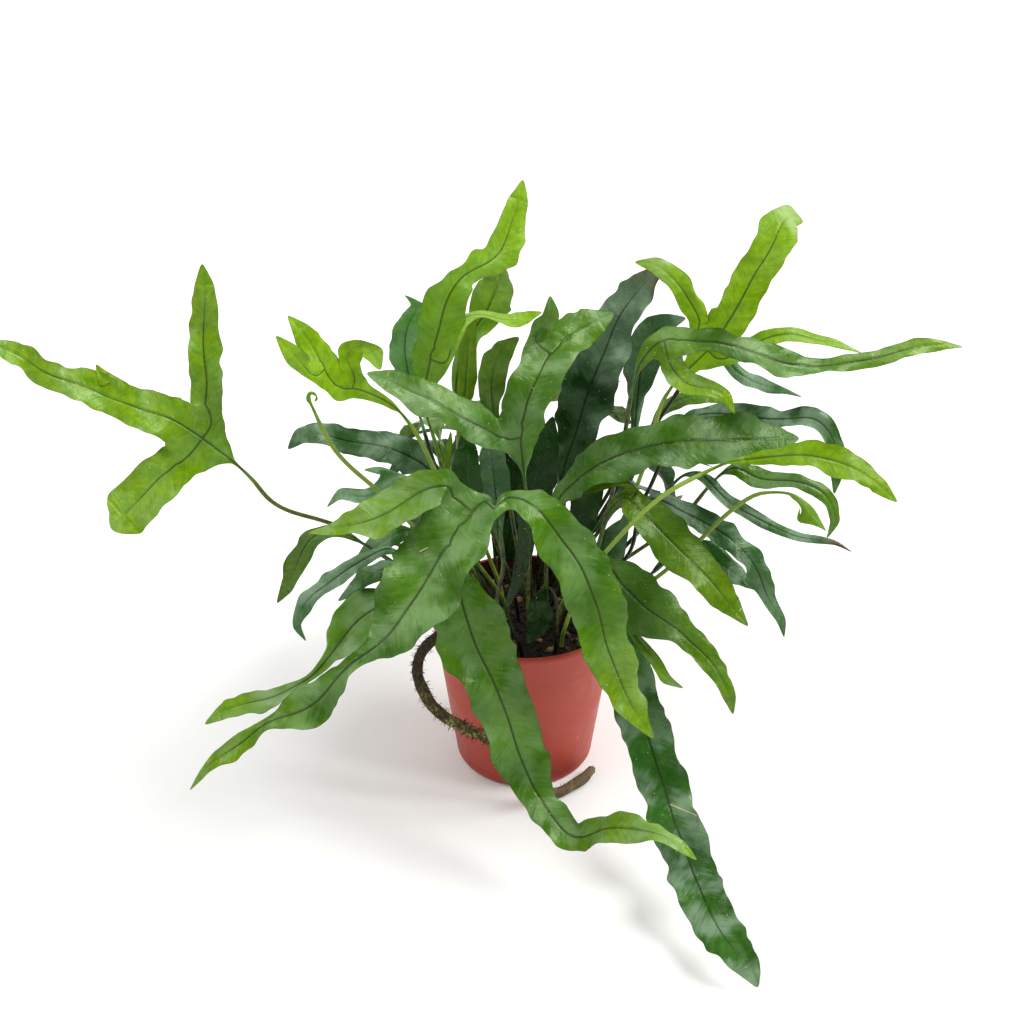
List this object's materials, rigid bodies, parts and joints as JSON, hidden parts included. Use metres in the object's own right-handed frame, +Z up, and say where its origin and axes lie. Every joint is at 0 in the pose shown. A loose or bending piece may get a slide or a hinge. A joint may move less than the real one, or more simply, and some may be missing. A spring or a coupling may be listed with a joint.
{
  "type": "potted kangaroo paw fern",
  "caption": "Leafy fern with strap-like, wavy, forked fronds and a creeping hairy rhizome, growing in a plain round tapered plastic nursery pot.",
  "frame": {"origin": "centre of the flat underside of the pot, where the pot stands", "axes": "+Z up along the axis of the pot, +X to the side that the long right frond points to, -Y to the front, where the paw frond and the hanging fronds are"},
  "size_m": [0.5237, 0.4071, 0.374],
  "materials": {
    "pot": "smooth satin terracotta red",
    "soil": "rough peat with bark chips",
    "rhizome": "rough, scaly and hairy",
    "leaf_mid": "leathery, softly glossy",
    "leaf_dark": "leathery, softly glossy",
    "leaf_lime": "thin young leaf, softly glossy",
    "crozier": "smooth green stalk"
  },
  "bodies": {
    "root": {"crozier_left": "crozier", "crozier_right": "crozier", "frond_back_cluster": "leaf_mid", "frond_back_dull": "leaf_dark", "frond_back_lime": "leaf_lime", "frond_back_low": "leaf_dark", "frond_back_right_low": "leaf_mid", "frond_back_right_tall": "leaf_dark", "frond_behind_tall": "leaf_mid", "frond_bright_right": "leaf_lime", "frond_centre_fork": "leaf_mid", "frond_curled_upper_left": "leaf_lime", "frond_dark_left": "leaf_dark", "frond_far_left_paw": "leaf_mid", "frond_far_side_1": "leaf_dark", "frond_far_side_10": "leaf_dark", "frond_far_side_11": "leaf_dark", "frond_far_side_12": "leaf_mid", "frond_far_side_2": "leaf_dark", "frond_far_side_3": "leaf_mid", "frond_far_side_4": "leaf_dark", "frond_far_side_5": "leaf_dark", "frond_far_side_6": "leaf_mid", "frond_far_side_7": "leaf_dark", "frond_far_side_8": "leaf_dark", "frond_far_side_9": "leaf_mid", "frond_front_paw": "leaf_mid", "frond_hanging_front": "leaf_mid", "frond_inner_band": "leaf_dark", "frond_inner_deep_left": "leaf_dark", "frond_inner_deep_middle": "leaf_dark", "frond_inner_deep_right": "leaf_dark", "frond_inner_glossy": "leaf_dark", "frond_inner_grey": "leaf_dark", "frond_inner_low": "leaf_dark", "frond_inner_upright": "leaf_lime", "frond_large_dark": "leaf_dark", "frond_left_tuft_dark": "leaf_dark", "frond_left_tuft_dull": "leaf_dark", "frond_left_tuft_high": "leaf_mid", "frond_left_tuft_low": "leaf_dark", "frond_lime_right": "leaf_lime", "frond_long_dark": "leaf_dark", "frond_long_right": "leaf_mid", "frond_low_left": "leaf_mid", "frond_right_back": "leaf_dark", "frond_right_curl": "leaf_mid", "frond_right_dark": "leaf_dark", "frond_right_dull": "leaf_dark", "frond_right_low": "leaf_mid", "frond_right_mid": "leaf_mid", "frond_right_small": "leaf_mid", "frond_right_thin": "leaf_dark", "frond_right_under": "leaf_dark", "frond_small_left": "leaf_dark", "frond_tall_bright": "leaf_lime", "frond_wide_right": "leaf_mid", "pot": "pot", "rhizome": "rhizome", "soil": "soil"}
  },
  "joints": []
}
